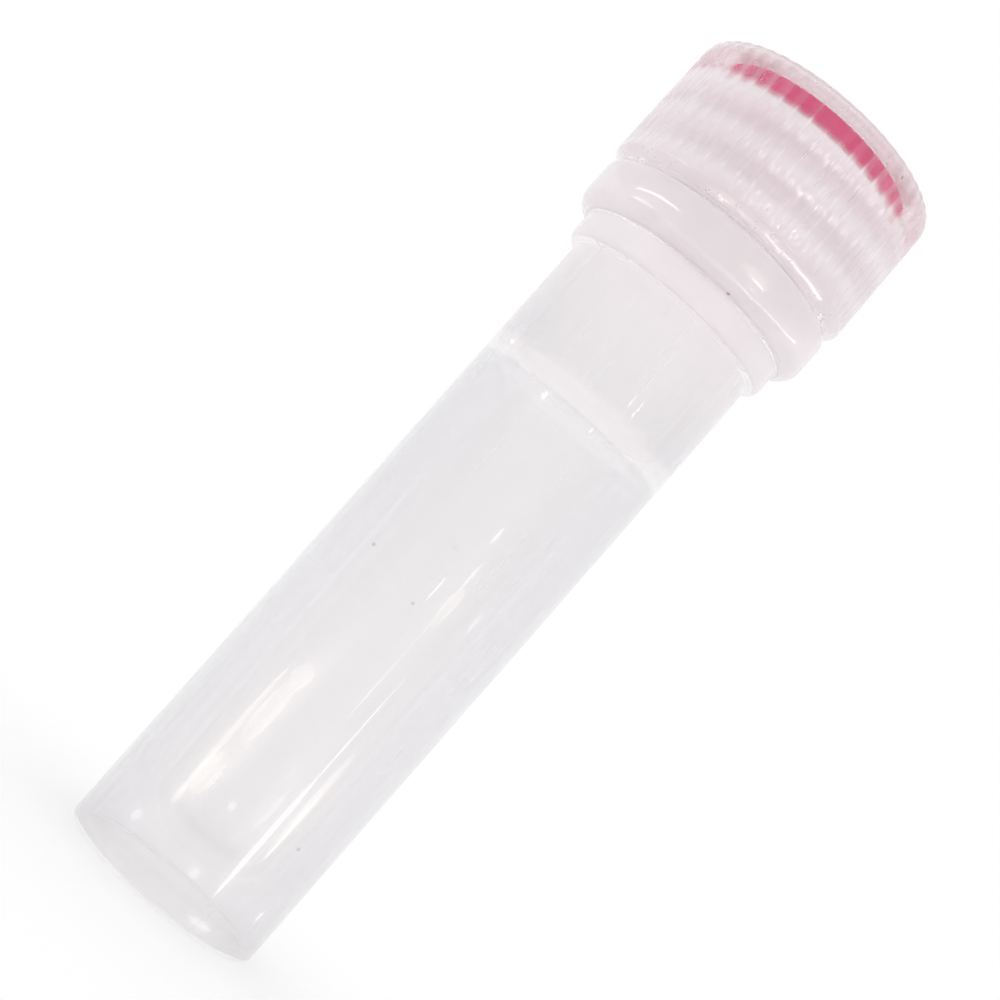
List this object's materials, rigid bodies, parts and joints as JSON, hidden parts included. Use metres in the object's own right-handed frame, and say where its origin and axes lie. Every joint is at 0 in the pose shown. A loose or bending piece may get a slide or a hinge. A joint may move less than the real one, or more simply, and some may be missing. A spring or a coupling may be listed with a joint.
{
  "type": "self-standing cryovial",
  "caption": "Translucent self-standing cryovial: open-skirted tube with an inner vessel, collar and flange, and a ribbed screw cap that holds a flat red sealing ring.",
  "frame": {"origin": "centre of the skirt's foot, on the plane that the vial stands on", "axes": "+Z along the vial's axis, from the foot to the cap; X and Y are across it"},
  "size_m": [0.014, 0.014, 0.0477],
  "materials": {
    "vial_plastic": "translucent natural polypropylene, smooth moulded gloss",
    "cap_plastic": "translucent natural polypropylene, satin moulded ribs",
    "seal_rubber": "smooth red silicone"
  },
  "bodies": {
    "vial": {"vial": "vial_plastic"},
    "seal_ring": {"seal_ring": "seal_rubber"},
    "cap": {"cap": "cap_plastic"}
  },
  "joints": [
    {"name": "cap_lift", "type": "slide", "parent": "vial", "child": "seal_ring", "axis": [0, 0, 1], "range_m": [0, 0.006]},
    {"name": "cap_turn", "type": "hinge", "parent": "seal_ring", "child": "cap", "pos_m": [0, 0, 0.044], "axis": [0, 0, 1], "range_deg": [0, 1080]}
  ],
  "couplings": [
    {"joint": "cap_turn", "follows": "cap_lift", "rad_per_m": 3141.6}
  ]
}
